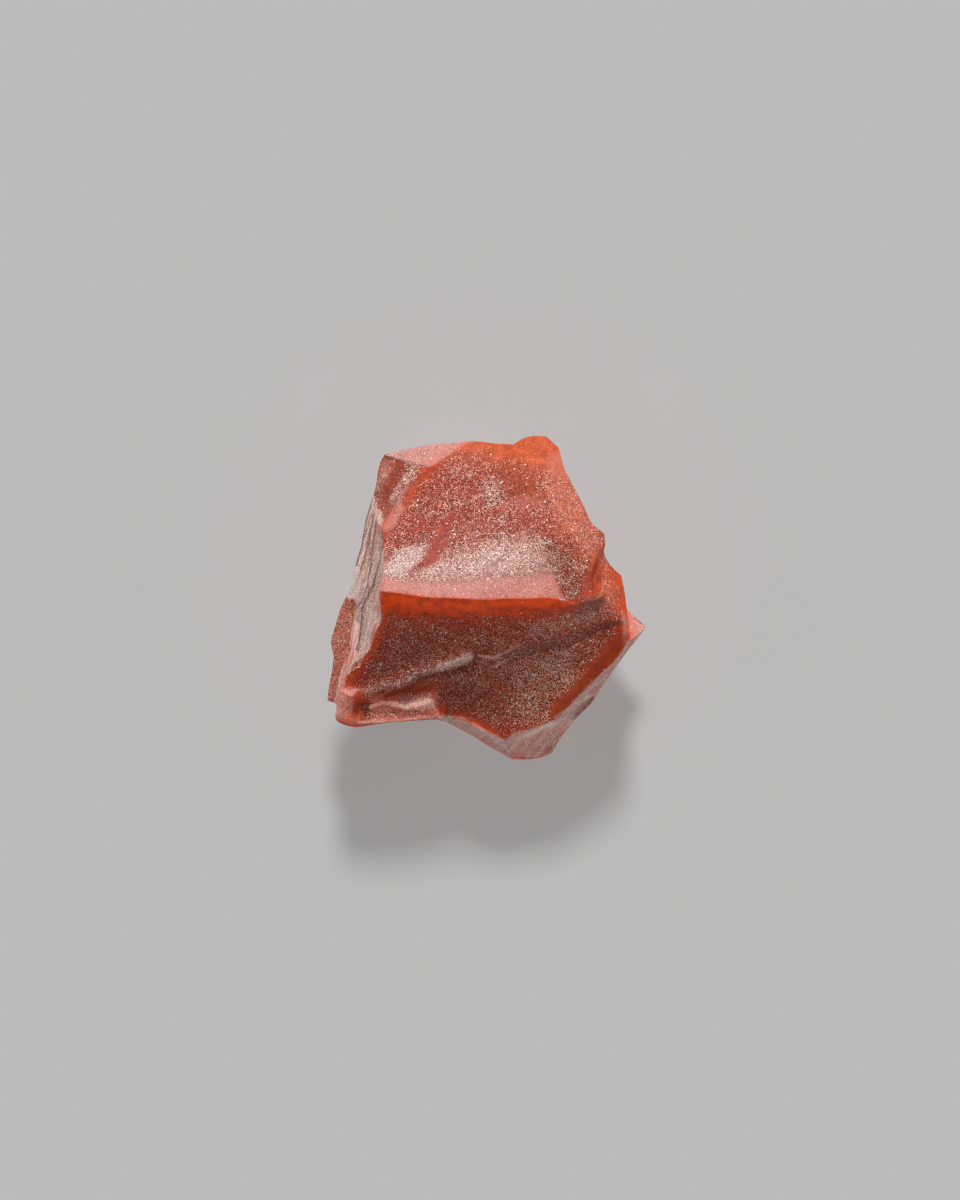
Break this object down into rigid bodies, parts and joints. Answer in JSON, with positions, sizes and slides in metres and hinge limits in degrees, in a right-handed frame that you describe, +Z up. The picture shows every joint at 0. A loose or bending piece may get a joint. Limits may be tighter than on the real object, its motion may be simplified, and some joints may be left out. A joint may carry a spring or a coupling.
{
  "type": "red jasper stone",
  "caption": "Rough broken lump of red jasper with big curved fracture faces, a sharp ridge across its top and a flat face to rest on.",
  "frame": {"origin": "middle of the bounding box at its bottom, which lies on the flat face that the stone rests on", "axes": "+Z up, away from the resting face; +X along the main ridge towards the small wing; +Y towards the side that the bright upper face slopes down to"},
  "size_m": [0.0478, 0.0488, 0.031],
  "materials": {
    "jasper": "fine sugary grain with a soft waxy sheen, glowing orange where its broken edges are thin"
  },
  "bodies": {
    "root": {"jasper_lump": "jasper"}
  },
  "joints": []
}
